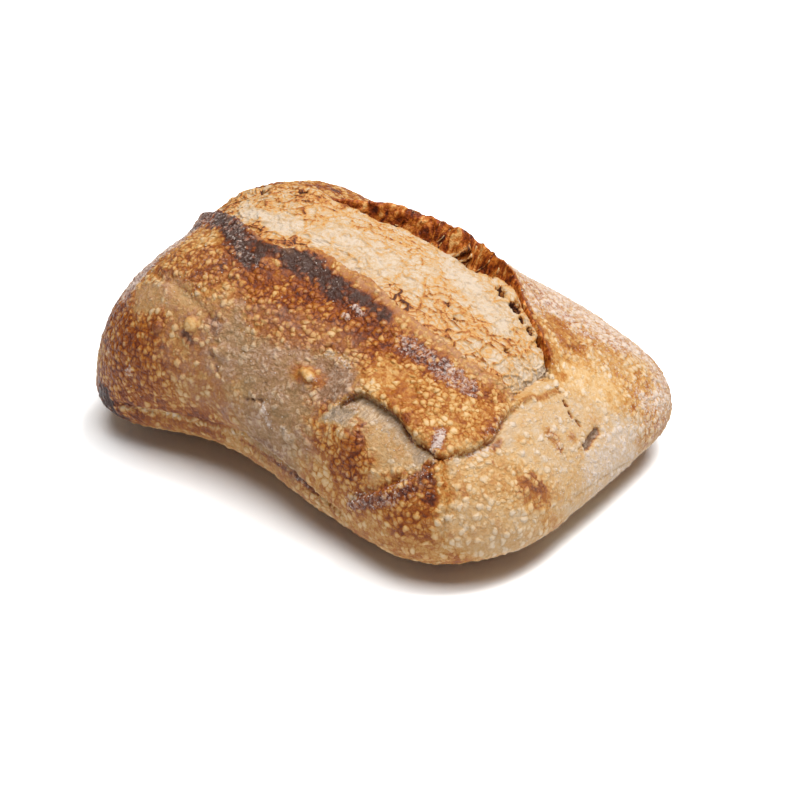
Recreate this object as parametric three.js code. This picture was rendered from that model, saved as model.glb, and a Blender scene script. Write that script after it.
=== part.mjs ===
// A rustic bread roll of one piece: a squarish loaf with a single long score that tore open in the oven.
// The front edge of the cut stands up as a lip, the crumb swells up beside it, and a narrow trench is left
// below the back edge. Millimetres, +Z up, +X along the roll, the origin at the middle of the base.
import * as THREE from 'three';
import { mergeVertices } from 'three/addons/utils/BufferGeometryUtils.js';

const LENGTH = 120;            // along X
const WIDTH = 91;              // along Y
const HEIGHT = 49.4;           // of the dome at the middle
const BELLY = 12.5;            // height of the widest level above the table
const FLAT = 1.2;              // what the oven floor took off the round underside
const FALL_ALONG = 0.245;      // the share of the height lost from the middle to the low end
const FALL_ACROSS = 0.069;     // and from the middle to the back
const END_LIFT = 0.102;        // and gained at both ends

const PLAN_SQUARENESS = 4.5;   // 2 is an ellipse, and more is squarer
const DOME_SQUARENESS = 2.0;   // the same for the profile above the belly
const FOOT_SQUARENESS = 2.3;   // and below it

const WAIST = 8.2;             // how far the front side is drawn in
const ARCH = 3.1;              // how far the front of the base is lifted there
const WAIST_AT = -16;          // along the roll
const WAIST_LENGTH = 31;
const WAIST_TOP = 20;          // above the table, where it dies out
const WAIST_FADE = 4;
const WAIST_DEPTH = 22;        // how far from the middle of the roll it starts
const WAIST_EASE = 5;
const ARCH_DEPTH = 18;         // and the lifted base
const ARCH_EASE = 20;

const CELLS_ALONG = 40;
const CELLS_ACROSS = 36;
const CELLS_UP = 16;
const CELLS_BELOW_BELLY = 5;   // of CELLS_UP
const CELLS_BEFORE_CUT = 9;    // of CELLS_ACROSS, from the front to the cut's front edge
const CELLS_IN_CUT = 15;

// The two edges of the cut seen from above, as x and y.
const FRONT_EDGE = [[-59, 1], [-52, -1], [-43, -5.5], [-35, -10.5], [-30, -13], [-23, -15.5], [-17, -16],
  [-12.5, -13], [-8, -11], [-2, -11.8], [5, -11.5], [14, -13.7], [21, -14.4], [35, -14], [41, -12.5],
  [45, -11], [49, -8]];
const BACK_EDGE = [[-59, 7], [-50, 9], [-41, 9], [-36, 10.5], [-29, 10], [-22, 11], [-17, 14], [-12, 17],
  [-6, 19.5], [0, 21], [8, 21], [16, 19], [24, 16], [31, 12], [38.5, 7.6], [42, 5], [45, 2.5], [49, -1]];
const CUT_STARTS = [-2.0, -1.25];   // as a station along the roll: it opens over this stretch
const CUT_ENDS = [0.93, 1.12];      // and closes over this one
const TRENCH_STARTS = [-0.55, -0.1];
const STRAIGHTENS = [1.6, 2.8];     // and the grid lines that follow it turn straight again, down each end

const LIP_RISE = 1.6;          // of the front edge above the dome
const LIP_WIDTH = 6;
const LIP_LEAN = 1.2;          // how far the front edge leans over the crumb
const BACK_RISE = 1.6;         // of the back edge
const BACK_BULGE = 2.4;        // more of it where the crumb pushed hardest
const BACK_BULGE_AT = 0.05;    // as a station
const BACK_BULGE_LENGTH = 0.4;
const BACK_WIDTH = 8;

// Across the cut, places and widths are shares of the way from its front edge to its back edge.
const CRUMB_RISE = 1.5;        // of the swollen crumb
const CRUMB_WIDTH = 0.8;
const GAP_DEPTH = 1.2;         // between the front edge and the crumb
const GAP_AT = 0.07;
const GAP_WIDTH = 0.06;
const TRENCH_DEPTH = 6.5;      // below the back edge
const TRENCH_AT = 0.86;
const TRENCH_WIDTH = 0.1;
const SHALLOW_TRENCH = 0.25;   // the share of its depth at the roll's high end

// Folds: the surface dips by depth along the path, and stands higher by shelf on the path's left side.
const FOLDS = [
  { path: [[-52, -38, 12], [-38, -41, 14.8], [-20, -40, 17], [-8, -40.5, 18.5], [5, -41.6, 17],
    [16, -43, 13.4], [26, -44, 12]], depth: 0.9, width: 2.6, shelf: 0.8, reach: 5 },      // foot rim
  { path: [[15, -37, 33], [19, -33, 36.7], [24, -33, 36], [29, -33.2, 35], [34, -34.4, 32.5],
    [41, -34.6, 29.8]], depth: 1.3, width: 3.4, shelf: 0.9, reach: 6 },                   // stretched tear
  { path: [[41, -34.4, 29.9], [45.2, -29.9, 30.3], [47, -23.4, 31], [45.7, -18.9, 32.4],
    [45.5, -11, 32.8]], depth: 0.5, width: 3.2, shelf: 0.8, reach: 6 },                   // end of the tongue
  { path: [[-44, -29, 42.5], [-36, -30.5, 44.2], [-31.7, -32, 43.7], [-24, -33.4, 42],
    [-17, -34.5, 39.5]], depth: 1.0, width: 3.2, shelf: 0, reach: 6 },                    // old fold
];

const FOLD_FADE = 0.15;        // the share of each fold's path over which it starts and ends

// Bulges and dents: a place on the surface, how far it reaches, and how far it stands out.
const BULGES = [
  { at: [38, -41, 18], size: 11, lift: 1.8 },      // blistered corner below the tongue
  { at: [21, -38.5, 30], size: 6.5, lift: 1.8 },   // blistered bump below the tear
  { at: [9, -33, 38], size: 6, lift: -1.5 },       // round dent
  { at: [6, -34.5, 36.8], size: 2.6, lift: 1.4 },  // the nub in it
  { at: [-46, -37, 20], size: 13, lift: 0.8 },     // left front corner
  { at: [-50, -35, 5], size: 12, lift: 1.7 },      // and its foot
  { at: [55, -36, 11], size: 12, lift: -1.0 },     // right front corner
  { at: [55, 33, 17], size: 10, lift: 0.9 },       // right back corner
  { at: [24, 23, 41], size: 8, lift: 1.5 },        // bump behind the cut
  { at: [-39, 13, 47], size: 8, lift: 0.9 },
  { at: [-22, 16, 50], size: 9, lift: -1.1 },
  { at: [-14, -38, 30], size: 12, lift: -1.2 },    // hollow flank
  { at: [40, -24, 38], size: 10, lift: 1.0 },      // back of the tongue
  { at: [-20, 38, 26], size: 18, lift: -1.0 },
  { at: [10, 42, 16], size: 14, lift: 1.0 },
  { at: [-57, 10, 24], size: 14, lift: 1.0 },
];

const { abs, exp, max, min, sin } = Math;
const hump = (t) => exp(-t * t);
const ramp = (t) => { const s = min(1, max(0, t)); return s * s * (3 - 2 * s); };

// A smooth line through points [t, value] with rising t.
function smoothLine(points) {
  const slope = points.map((_, i) => {
    const [a, b] = [points[max(0, i - 1)], points[min(points.length - 1, i + 1)]];
    return (b[1] - a[1]) / (b[0] - a[0]);
  });
  return (t) => {
    if (t <= points[0][0]) return points[0][1];
    if (t >= points[points.length - 1][0]) return points[points.length - 1][1];
    const i = points.findIndex((p) => p[0] > t) - 1;
    const [a, b] = [points[i], points[i + 1]];
    const span = b[0] - a[0];
    const s = (t - a[0]) / span;
    return a[1] * (1 + 2 * s) * (1 - s) ** 2 + slope[i] * span * s * (1 - s) ** 2
      + b[1] * s * s * (3 - 2 * s) - slope[i + 1] * span * s * s * (1 - s);
  };
}

// The height of the dome above the table, where x and y run from -1 to 1.
const crownHeight = (x, y) => HEIGHT * (1 - FALL_ALONG * x - FALL_ACROSS * y + END_LIFT * x * x);

const planRadius = (x, y) => (abs(x) ** PLAN_SQUARENESS + abs(y) ** PLAN_SQUARENESS) ** (1 / PLAN_SQUARENESS);

// The point of the plain loaf that a point of the cube's surface stands for.
function loafPoint(cube) {
  const squareness = cube.z > 0 ? DOME_SQUARENESS : FOOT_SQUARENESS;
  const size = (planRadius(cube.x, cube.y) ** squareness + abs(cube.z) ** squareness) ** (1 / squareness);
  const q = cube.clone().divideScalar(size);
  const rise = q.z > 0 ? crownHeight(q.x, q.y) - BELLY : BELLY;
  const z = max(0, BELLY + q.z * rise - FLAT);
  return drawInWaist(new THREE.Vector3(q.x * LENGTH / 2, q.y * WIDTH / 2, z));
}

// The waist: the long front side was drawn in and up as the roll was cut from the dough.
function drawInWaist(p) {
  const here = hump((p.x - WAIST_AT) / WAIST_LENGTH);
  const low = 1 / (1 + exp((p.z - WAIST_TOP) / WAIST_FADE));
  p.z += ARCH * here * low * ramp((-p.y - ARCH_DEPTH) / ARCH_EASE);
  p.y += WAIST * here * low / (1 + exp((p.y + WAIST_DEPTH) / WAIST_EASE));
  return p;
}

// A station runs along the roll: -1 to 1 over the top, and on to -3 and 3 down the two ends.
const station = (cube) => (abs(cube.x) < 1 - 1e-6 ? cube.x : Math.sign(cube.x) * (2 - cube.z));

// The station and the cube's y of a point of the dome, from its place seen from above.
function stationAbove([x, y]) {
  const q = new THREE.Vector3(x / (LENGTH / 2), y / (WIDTH / 2), 0);
  q.z = max(0, 1 - planRadius(q.x, q.y) ** DOME_SQUARENESS) ** (1 / DOME_SQUARENESS);
  q.divideScalar(max(abs(q.x), abs(q.y), abs(q.z)));
  return [station(q), q.y];
}
const frontEdge = smoothLine(FRONT_EDGE.map(stationAbove));
const backEdge = smoothLine(BACK_EDGE.map(stationAbove));

const crossesRoll = (cube) => abs(cube.y) < 1 - 1e-6 && cube.z > -1 + 1e-6;

// Moves the cube's level grid lines, so that most of them lie above the belly.
function raiseLevels(cube) {
  const line = (cube.z + 1) / 2 * CELLS_UP;
  cube.z = line < CELLS_BELOW_BELLY ? line / CELLS_BELOW_BELLY - 1
    : (line - CELLS_BELOW_BELLY) / (CELLS_UP - CELLS_BELOW_BELLY);
}

// Moves the cube's grid lines across the roll so that two of them run along the cut's edges.
function followCut(cube) {
  if (!crossesRoll(cube)) return;
  const along = station(cube);
  const share = (cube.y + 1) / 2;
  const atFront = CELLS_BEFORE_CUT / CELLS_ACROSS;
  const atBack = atFront + CELLS_IN_CUT / CELLS_ACROSS;
  const [front, back] = [frontEdge(along), backEdge(along)];
  const moved = share < atFront ? -1 + (front + 1) * share / atFront
    : share < atBack ? front + (back - front) * (share - atFront) / (atBack - atFront)
      : back + (1 - back) * (share - atBack) / (1 - atBack);
  const kept = ramp((abs(along) - STRAIGHTENS[0]) / (STRAIGHTENS[1] - STRAIGHTENS[0]));
  cube.y = moved + (cube.y - moved) * kept;
}

// How far the cut lifts the surface out along its normal, and how far it pushes it across the roll.
function cutRelief(cube) {
  if (!crossesRoll(cube)) return [0, 0];
  const along = station(cube);
  const open = ramp((along - CUT_STARTS[0]) / (CUT_STARTS[1] - CUT_STARTS[0]))
    * ramp((CUT_ENDS[1] - along) / (CUT_ENDS[1] - CUT_ENDS[0]));
  const [front, back] = [frontEdge(along), backEdge(along)];
  const s = (cube.y - front) / (back - front);
  const before = (front - cube.y) * WIDTH / 2;
  const behind = (cube.y - back) * WIDTH / 2;
  if (s <= 0) {
    return [open * LIP_RISE * hump(before / LIP_WIDTH), open * LIP_LEAN * hump(3 * before / LIP_WIDTH)];
  }
  const backRise = BACK_RISE + BACK_BULGE * hump((along - BACK_BULGE_AT) / BACK_BULGE_LENGTH);
  if (s >= 1) return [open * backRise * hump(behind / BACK_WIDTH), 0];
  const deep = SHALLOW_TRENCH + (1 - SHALLOW_TRENCH)
    * ramp((along - TRENCH_STARTS[0]) / (TRENCH_STARTS[1] - TRENCH_STARTS[0]));
  const crumb = CRUMB_RISE * sin(Math.PI * min(1, s / CRUMB_WIDTH));
  const gap = -GAP_DEPTH * hump((s - GAP_AT) / GAP_WIDTH);
  const trench = -TRENCH_DEPTH * deep * hump((s - TRENCH_AT) / TRENCH_WIDTH);
  return [open * (crumb + gap + trench), 0];
}

// How far a fold lifts the surface at point, whose normal is given.
function foldRelief({ path, depth, width, shelf, reach }, point, normal) {
  let nearest = Infinity;
  let side = 0;
  let share = 0;
  for (let i = 0; i + 1 < path.length; i += 1) {
    const [a, b] = [new THREE.Vector3(...path[i]), new THREE.Vector3(...path[i + 1])];
    const run = b.clone().sub(a);
    const t = min(1, max(0, point.clone().sub(a).dot(run) / run.lengthSq()));
    const away = point.clone().sub(a).addScaledVector(run, -t);
    if (away.length() >= nearest) continue;
    nearest = away.length();
    side = Math.tanh(new THREE.Vector3().crossVectors(normal, run.normalize()).dot(away) / (width / 3));
    share = (i + t) / (path.length - 1);
  }
  const fade = ramp(share / FOLD_FADE) * ramp((1 - share) / FOLD_FADE);
  return fade * (shelf * side * hump(nearest / reach) - depth * hump(nearest / width));
}

const bulgeRelief = ({ at, size, lift }, point) =>
  lift * hump(point.distanceTo(new THREE.Vector3(...at)) / size);

const shape = new THREE.BoxGeometry(2, 2, 2, CELLS_ALONG, CELLS_ACROSS, CELLS_UP);
shape.deleteAttribute('normal');
shape.deleteAttribute('uv');
const geometry = mergeVertices(shape, 1e-5);
const place = geometry.attributes.position;
const cubes = [];
for (let i = 0; i < place.count; i += 1) {
  const cube = new THREE.Vector3().fromBufferAttribute(place, i);
  raiseLevels(cube);
  followCut(cube);
  cubes.push(cube);
  place.setXYZ(i, ...loafPoint(cube).toArray());
}
geometry.computeVertexNormals();
cubes.forEach((cube, i) => {
  const normal = new THREE.Vector3().fromBufferAttribute(geometry.attributes.normal, i);
  const point = new THREE.Vector3().fromBufferAttribute(place, i);
  if (point.z < 0.01) return;
  const [cutLift, lean] = cutRelief(cube);
  const folds = FOLDS.reduce((sum, fold) => sum + foldRelief(fold, point, normal), 0);
  const bulges = BULGES.reduce((sum, bulge) => sum + bulgeRelief(bulge, point), 0);
  point.addScaledVector(normal, cutLift + folds + bulges);
  place.setXYZ(i, point.x, point.y + lean, max(0, point.z));
});
geometry.computeVertexNormals();

const roll = new THREE.Mesh(geometry, new THREE.MeshStandardMaterial({ color: 0xb8742f, roughness: 0.75 }));
roll.name = 'roll';
const group = new THREE.Group();
group.add(roll);
export default group;
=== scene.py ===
from math import cos, pi, radians, sin

import bpy
import numpy as np
from mathutils import Matrix, Vector
from mathutils.bvhtree import BVHTree


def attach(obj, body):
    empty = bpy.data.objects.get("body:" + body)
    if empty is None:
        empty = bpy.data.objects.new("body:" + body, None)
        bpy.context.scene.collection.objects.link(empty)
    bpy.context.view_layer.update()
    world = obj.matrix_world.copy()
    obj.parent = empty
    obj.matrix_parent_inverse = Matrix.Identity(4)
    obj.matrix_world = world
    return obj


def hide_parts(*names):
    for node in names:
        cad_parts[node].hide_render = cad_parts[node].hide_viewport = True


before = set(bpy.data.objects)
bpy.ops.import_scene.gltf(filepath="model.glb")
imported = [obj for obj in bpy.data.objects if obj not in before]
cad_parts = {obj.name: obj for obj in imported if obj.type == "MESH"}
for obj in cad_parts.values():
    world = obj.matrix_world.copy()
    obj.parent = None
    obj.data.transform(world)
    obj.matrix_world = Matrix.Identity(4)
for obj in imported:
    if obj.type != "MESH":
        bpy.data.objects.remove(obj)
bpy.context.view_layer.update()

# A rustic bread roll. Shapes are worked out in millimetres and turned into metres as each mesh is made.
MM = 0.001

# The photograph's view
IMAGE = 800                    # pixels each way
SENSOR = 36                    # mm
FOCAL = 2856.6                 # pixels
VIEW_AZIMUTH = 36.445          # degrees
VIEW_ELEVATION = 33.367
VIEW_DISTANCE = 650            # mm
VIEW_TARGET = Vector((6.98, -2.32, 13.87))

# The loaf, with the sizes of the solid that the crust replaces
LENGTH, WIDTH, HEIGHT = 120, 91, 49.4
BELLY = 12.5                   # height of the widest level
FLAT = 1.2                     # what the oven floor took off the underside
FALL_ALONG, FALL_ACROSS, END_LIFT = 0.245, 0.069, 0.102     # of the crown, as shares of its height
PLAN_SQUARENESS, DOME_SQUARENESS, FOOT_SQUARENESS = 4.5, 2.0, 2.3
# The waist on the front side, and the arch that lifts it off the table
WAIST, ARCH, WAIST_AT, WAIST_LENGTH = 8.2, 3.1, -16, 31
WAIST_TOP, WAIST_FADE, WAIST_DEPTH, WAIST_EASE = 20, 4, 22, 5
ARCH_DEPTH, ARCH_EASE = 18, 20

# The two edges of the cut seen from above
FRONT_EDGE = [(-59, 1), (-52, -1), (-43, -5.5), (-35, -10.5), (-30, -13), (-23, -15.5), (-17, -16),
              (-12.5, -13), (-8, -11), (-2, -11.8), (5, -11.5), (14, -13.7), (21, -14.4), (35, -14),
              (41, -12.5), (45, -11), (49, -8)]
BACK_EDGE = [(-59, 7), (-50, 9), (-41, 9), (-36, 10.5), (-29, 10), (-22, 11), (-17, 14), (-12, 17),
             (-6, 19.5), (0, 21), (8, 21), (16, 19), (24, 16), (31, 12), (38.5, 7.6), (42, 5), (45, 2.5),
             (49, -1)]
# Stations along the roll between which the cut opens and closes, the trench deepens, and the grid straightens
CUT_STARTS = (-2.0, -1.25)
CUT_ENDS = (0.93, 1.12)
TRENCH_STARTS = (-0.55, -0.1)
STRAIGHTENS = (1.6, 2.8)
LIP_RISE, LIP_WIDTH, LIP_LEAN = 1.6, 6, 1.2
CURL_RISE, CURL_WIDTH = 0.9, 1.7                            # of the thin crust right at both edges
BACK_RISE, BACK_BULGE, BACK_BULGE_AT, BACK_BULGE_LENGTH, BACK_WIDTH = 1.6, 2.4, 0.05, 0.4, 8
CRUMB_RISE, CRUMB_WIDTH = 1.5, 0.8
TRENCH_DEPTH, TRENCH_AT, TRENCH_WIDTH, SHALLOW_TRENCH = 6.5, 0.86, 0.1, 0.25

# Folds in the crust, in mm: the foot rim, the stretched tear, the end of the tongue and the old fold
FOLDS = [
    dict(path=[(-52, -38, 12), (-38, -41, 14.8), (-20, -40, 17), (-8, -40.5, 18.5), (5, -41.6, 17),
               (16, -43, 13.4), (26, -44, 12)], depth=0.9, width=1.1, shelf=0.7, reach=4),
    dict(path=[(15, -37, 33), (19, -33, 36.7), (24, -33, 36), (29, -33.2, 35), (34, -34.4, 32.5),
               (41, -34.6, 29.8)], depth=0.8, width=1.1, shelf=1.0, reach=5),
    dict(path=[(41, -34.4, 29.9), (45.2, -29.9, 30.3), (47, -23.4, 31), (45.7, -18.9, 32.4),
               (45.5, -11, 32.8)], depth=0.5, width=1.4, shelf=0.7, reach=5),
    dict(path=[(-44, -29, 42.5), (-36, -30.5, 44.2), (-31.7, -32, 43.7), (-24, -33.4, 42),
               (-17, -34.5, 39.5)], depth=0.6, width=1.3, shelf=0, reach=4),
]
FOLD_FADE = 0.15               # share of a fold's length over which it fades at each end
# Soft bulges and hollows: the middle, how far they reach and how high they are, in mm
BULGES = [
    ((38, -41, 18), 11, 1.8), ((21, -38.5, 30), 6.5, 1.8), ((9, -33, 38), 6, -1.5),
    ((6, -34.5, 36.8), 2.6, 1.4), ((-46, -37, 20), 13, 0.8), ((-50, -35, 5), 12, 1.7),
    ((55, -36, 11), 12, -1.0), ((55, 33, 17), 10, 0.9), ((24, 23, 41), 8, 1.5), ((-39, 13, 47), 8, 0.9),
    ((-22, 18, 50), 11, -2.2), ((-14, -38, 30), 12, -1.2), ((40, -24, 38), 10, 1.0),
    ((-20, 38, 26), 18, -1.0), ((10, 42, 16), 14, 1.0), ((-57, 10, 24), 14, 1.0),
]

# The fine skin: cells along, across and up, and how they share out between the cut's edges
SKIN_CELLS = (340, 330, 120)
CELLS_BELOW_BELLY = 36
ROWS_TO_FRONT, ROWS_TO_TRENCH, ROWS_TO_BACK = 0.36, 0.48, 0.68
TRENCH_FRONT = 0.8             # of the way across the cut
SKIN_TRIANGLES = 195_000
BED_DEPTH = 3.0                # of the crust under the crumb
INSIDE = 1 - 1e-6              # a place on the cube below this isn't on its side at 1

# The crumb: its grid, its stations, and how far back it reaches as a share of the cut's width
CRUMB_CELLS = (420, 130)
CRUMB_TRIANGLES = 190_000
CRUMB_FROM, CRUMB_TO = -1.9, 1.07
CRUMB_BACK, CRUMB_BACK_IN_TRENCH, CRUMB_BACK_AT_END = 1.0, 0.87, 0.99
CRUMB_TAIL = (6, 28)           # mm from its start between which it widens
CRUMB_EDGE = 2.2               # how far it dips at its front edge
CRUMB_SINK = 2.5               # how far it lies under the crust where the cut is closed
CRUMB_THICKNESS = 0.8          # at the least
# Open bubbles in it: a line of pixels, its reach and depth in mm
HOLES = [
    ([(486, 266), (492, 274)], 1.3, 3.0), ([(499, 288), (503, 294)], 1.0, 3.0),
    ([(513, 304), (518, 310)], 1.0, 3.0), ([(521, 318), (523, 321)], 0.7, 2.0),
    ([(529, 328), (532, 332)], 0.8, 2.5), ([(539, 340), (542, 345)], 1.0, 3.0),
    ([(548, 358), (549, 366)], 1.1, 3.0), ([(553, 377), (554, 380)], 0.6, 2.0),
    ([(375, 205), (384, 209)], 0.7, 2.0), ([(345, 199), (353, 200)], 0.5, 1.6),
    ([(300, 192), (306, 192)], 0.5, 1.6), ([(262, 192), (268, 191)], 0.6, 1.6),
    ([(455, 318), (456, 319)], 0.8, 0.9), ([(447, 303), (450, 306)], 0.6, 0.7),
    ([(505, 350), (508, 353)], 0.8, 0.8),
]


def hump(t):
    return np.exp(-t * t)


def ramp(t):
    s = np.clip(t, 0, 1)
    return s * s * (3 - 2 * s)


def smooth_line(points):
    """A smooth curve through points (t, value) with rising t, as a function of t."""
    t, v = np.array(points, float).T
    ends = np.arange(len(t))
    before, after = np.maximum(ends - 1, 0), np.minimum(ends + 1, len(t) - 1)
    slope = (v[after] - v[before]) / (t[after] - t[before])

    def value(x):
        x = np.clip(x, t[0], t[-1])
        i = np.clip(np.searchsorted(t, x, side="right") - 1, 0, len(t) - 2)
        span = t[i + 1] - t[i]
        s = (x - t[i]) / span
        return (v[i] * (1 + 2 * s) * (1 - s) ** 2 + slope[i] * span * s * (1 - s) ** 2
                + v[i + 1] * s * s * (3 - 2 * s) - slope[i + 1] * span * s * s * (1 - s))
    return value


def plan_radius(x, y):
    return (abs(x) ** PLAN_SQUARENESS + abs(y) ** PLAN_SQUARENESS) ** (1 / PLAN_SQUARENESS)


def loaf_point(cube):
    """The points of the plain loaf, in mm, that points of the cube's surface stand for."""
    squareness = np.where(cube[:, 2] > 0, DOME_SQUARENESS, FOOT_SQUARENESS)
    plan = plan_radius(cube[:, 0], cube[:, 1])
    size = (plan ** squareness + abs(cube[:, 2]) ** squareness) ** (1 / squareness)
    x, y, z = (cube / size[:, None]).T
    crown = HEIGHT * (1 - FALL_ALONG * x - FALL_ACROSS * y + END_LIFT * x * x)
    up = np.maximum(0, BELLY + z * np.where(z > 0, crown - BELLY, BELLY) - FLAT)
    return draw_in_waist(np.stack([x * LENGTH / 2, y * WIDTH / 2, up], axis=1))


def draw_in_waist(p):
    x, y, z = p.T
    here = hump((x - WAIST_AT) / WAIST_LENGTH)
    low = 1 / (1 + np.exp((z - WAIST_TOP) / WAIST_FADE))
    z = z + ARCH * here * low * ramp((-y - ARCH_DEPTH) / ARCH_EASE)
    y = y + WAIST * here * low / (1 + np.exp((y + WAIST_DEPTH) / WAIST_EASE))
    return np.stack([x, y, z], axis=1)


def station(cube):
    """Where a point of the cube is along the roll: -1 to 1 over the top, to -3 and 3 down the ends."""
    return np.where(abs(cube[:, 0]) < INSIDE, cube[:, 0], np.sign(cube[:, 0]) * (2 - cube[:, 2]))


def can_be_cut(cube):
    """Which points lie on the top and the ends, away from the long sides and the underside."""
    return (abs(cube[:, 1]) < INSIDE) & (cube[:, 2] > -INSIDE)


def station_above(place):
    x, y = place[0] / (LENGTH / 2), place[1] / (WIDTH / 2)
    z = max(0, 1 - plan_radius(x, y) ** DOME_SQUARENESS) ** (1 / DOME_SQUARENESS)
    cube = np.array([[x, y, z]]) / max(abs(x), abs(y), abs(z))
    return station(cube)[0], cube[0, 1]


front_edge = smooth_line([station_above(p) for p in FRONT_EDGE])
back_edge = smooth_line([station_above(p) for p in BACK_EDGE])


def how_open(along):
    return (ramp((along - CUT_STARTS[0]) / (CUT_STARTS[1] - CUT_STARTS[0]))
            * ramp((CUT_ENDS[1] - along) / (CUT_ENDS[1] - CUT_ENDS[0])))


def how_deep(along):
    starts, full = TRENCH_STARTS
    return SHALLOW_TRENCH + (1 - SHALLOW_TRENCH) * ramp((along - starts) / (full - starts))


def how_gaping(along):
    """From 0 where the crumb meets the back edge to 1 where the trench is full."""
    return (how_deep(along) - SHALLOW_TRENCH) / (1 - SHALLOW_TRENCH)


def back_edge_rise(along):
    return BACK_RISE + BACK_BULGE * hump((along - BACK_BULGE_AT) / BACK_BULGE_LENGTH) + 0.4 * ragged(along, 5)


def ragged(along, seed, size=1.0):
    """A small uneven swing along an edge, from -1 to 1."""
    rng = np.random.default_rng(seed)
    waves = [(9, 0.35), (21, 0.3), (47, 0.2), (90, 0.15)]
    return sum(share * np.sin(along * rate * size + rng.uniform(0, 2 * pi)) for rate, share in waves)


def cube_skin(cells):
    """A cube's surface as a grid: its corner places from -1 to 1, and its four-sided faces."""
    nx, ny, nz = cells
    ids = np.full((nx + 1, ny + 1, nz + 1), -1, np.int32)
    on_skin = np.zeros(ids.shape, bool)
    for axis in range(3):
        on_skin.swapaxes(0, axis)[[0, -1]] = True
    places = np.argwhere(on_skin)
    ids[on_skin] = np.arange(len(places))
    faces = []
    for axis in range(3):
        for side in (0, -1):
            sheet = ids.take(side, axis=axis)
            corners = [sheet[:-1, :-1], sheet[1:, :-1], sheet[1:, 1:], sheet[:-1, 1:]]
            if (side == 0) != (axis == 1):
                corners.reverse()
            faces.append(np.stack([c.ravel() for c in corners], axis=1))
    return places / np.array(cells) * 2 - 1, np.concatenate(faces)


def grid_faces(n_along, n_across):
    ids = np.arange(n_along * n_across).reshape(n_along, n_across)
    corners = (ids[:-1, :-1], ids[1:, :-1], ids[1:, 1:], ids[:-1, 1:])
    return np.stack([c.ravel() for c in corners], axis=1)


def normals_of(points, faces):
    a, b, c, d = (points[faces[:, i]] for i in range(4))
    across = np.cross(c - a, d - b)
    used_by = faces.ravel()
    total = np.stack([np.bincount(used_by, np.repeat(part, 4), len(points)) for part in across.T], axis=1)
    return total / np.maximum(np.linalg.norm(total, axis=1), 1e-9)[:, None]


def follow_cut(cube):
    """Moves the grid lines across the roll so that they crowd in the trench and follow the cut's edges."""
    along = station(cube)
    share = (cube[:, 1] + 1) / 2
    front, back = front_edge(along), back_edge(along)
    stops = (0, ROWS_TO_FRONT, ROWS_TO_TRENCH, ROWS_TO_BACK, 1)
    places = (-1, front, front + TRENCH_FRONT * (back - front), back, 1)
    y = -np.ones(len(cube))
    for i in range(4):
        part = np.clip((share - stops[i]) / (stops[i + 1] - stops[i]), 0, 1)
        y = y + (places[i + 1] - places[i]) * part
    kept = ramp((abs(along) - STRAIGHTENS[0]) / (STRAIGHTENS[1] - STRAIGHTENS[0]))
    y = y + (cube[:, 1] - y) * kept
    return np.stack([cube[:, 0], np.where(can_be_cut(cube), y, cube[:, 1]), cube[:, 2]], axis=1)


def skin_relief(cube):
    """How far the cut lifts the crust along its normal, how far it leans, and where its torn walls and its
    back edge are."""
    along = station(cube)
    opened = np.where(can_be_cut(cube), how_open(along), 0)
    front, back = front_edge(along), back_edge(along)
    s = (cube[:, 1] - front) / (back - front)
    into = (cube[:, 1] - front) * WIDTH / 2
    behind = (cube[:, 1] - back) * WIDTH / 2
    rise = LIP_RISE + 0.5 * ragged(along, 3)
    curl = CURL_RISE * (1 + 0.6 * ragged(along, 4, 2.0))
    lip = rise * hump(into / LIP_WIDTH) + curl * hump(into / CURL_WIDTH) - 0.5 * hump(into / 0.6)
    lean = LIP_LEAN * hump(3 * into / LIP_WIDTH)
    bed = -BED_DEPTH + (BED_DEPTH + lip) * (1 - ramp(into / 1.0))
    trench = -TRENCH_DEPTH * how_deep(along) * hump((s - TRENCH_AT - 0.02) / TRENCH_WIDTH)
    curled = (0.2 + 0.8 * how_gaping(along)) * (1 - 0.8 * ramp((along - 0.3) / 0.3))
    back_lip = back_edge_rise(along) * hump(behind / BACK_WIDTH) + curl * curled * hump(behind / CURL_WIDTH)
    wall = ramp(1 + behind / 1.3)
    inside = np.minimum(bed, 0) * (1 - ramp((s - 0.7) / 0.1)) + trench
    inside = np.where(into < 1.0, bed, inside) * (1 - wall) + back_lip * wall
    lift = np.where(s <= 0, lip, np.where(s >= 1, back_lip, inside))
    torn = np.where((s > 0) & (s < 1), 1 - wall * 0.3, 0)
    return opened * lift, opened * np.where(s < 0.3, lean, 0), opened * torn, opened * hump(behind - 0.3)


def fold_relief(fold, points, normals):
    path = np.array(fold["path"], float)
    nearest = np.full(len(points), np.inf)
    side, share = np.zeros(len(points)), np.zeros(len(points))
    for i in range(len(path) - 1):
        run = path[i + 1] - path[i]
        t = np.clip((points - path[i]) @ run / (run @ run), 0, 1)
        away = points - path[i] - t[:, None] * run
        far = np.linalg.norm(away, axis=1)
        near = far < nearest
        hand = (np.cross(normals, run / np.linalg.norm(run)) * away).sum(1)
        nearest = np.where(near, far, nearest)
        side = np.where(near, np.tanh(hand / (fold["width"] / 3)), side)
        share = np.where(near, (i + t) / (len(path) - 1), share)
    fade = ramp(share / FOLD_FADE) * ramp((1 - share) / FOLD_FADE)
    shelf = fold["shelf"] * side * hump(nearest / fold["reach"])
    return fade * (shelf - fold["depth"] * hump(nearest / fold["width"]))


def bulge_relief(points):
    return sum(height * hump(np.linalg.norm(points - np.array(at), axis=1) / reach)
               for at, reach, height in BULGES)


# The view, and points of the roll found through it
def view_axes():
    azimuth, elevation = radians(VIEW_AZIMUTH), radians(VIEW_ELEVATION)
    back = Vector((sin(azimuth) * cos(elevation), -cos(azimuth) * cos(elevation), sin(elevation)))
    right = Vector((cos(azimuth), sin(azimuth), 0))
    return right, back.cross(right), back


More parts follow.
